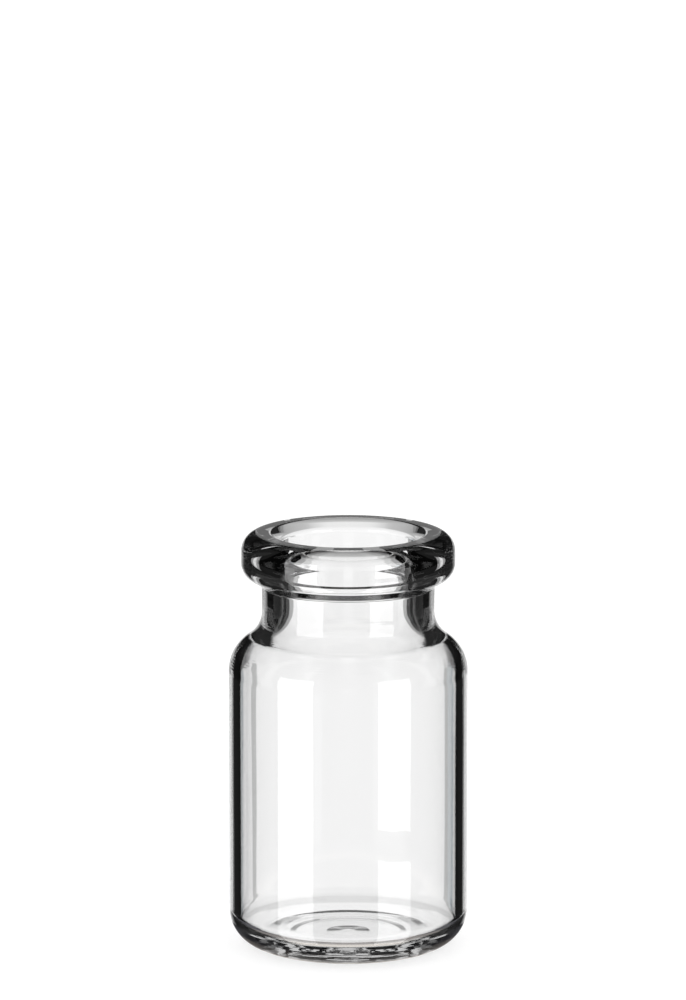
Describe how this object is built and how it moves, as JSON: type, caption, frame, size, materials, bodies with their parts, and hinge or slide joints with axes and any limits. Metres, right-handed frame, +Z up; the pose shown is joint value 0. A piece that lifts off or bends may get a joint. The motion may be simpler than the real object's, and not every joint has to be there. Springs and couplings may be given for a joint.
{
  "type": "glass sample vial",
  "caption": "Clear glass sample vial with a crimp neck: straight round body, rounded heel and shoulder, short neck and a round-edged crown with a lead-in to its open bore.",
  "frame": {"origin": "centre of the standing ring, on the surface that the vial stands on", "axes": "+Z up the vial's axis, out of the mouth; X and Y are free, because the vial is round"},
  "size_m": [0.022, 0.022, 0.0389],
  "materials": {
    "clear_glass": "clear, colourless, flame polished"
  },
  "bodies": {
    "root": {"vial": "clear_glass"}
  },
  "joints": []
}
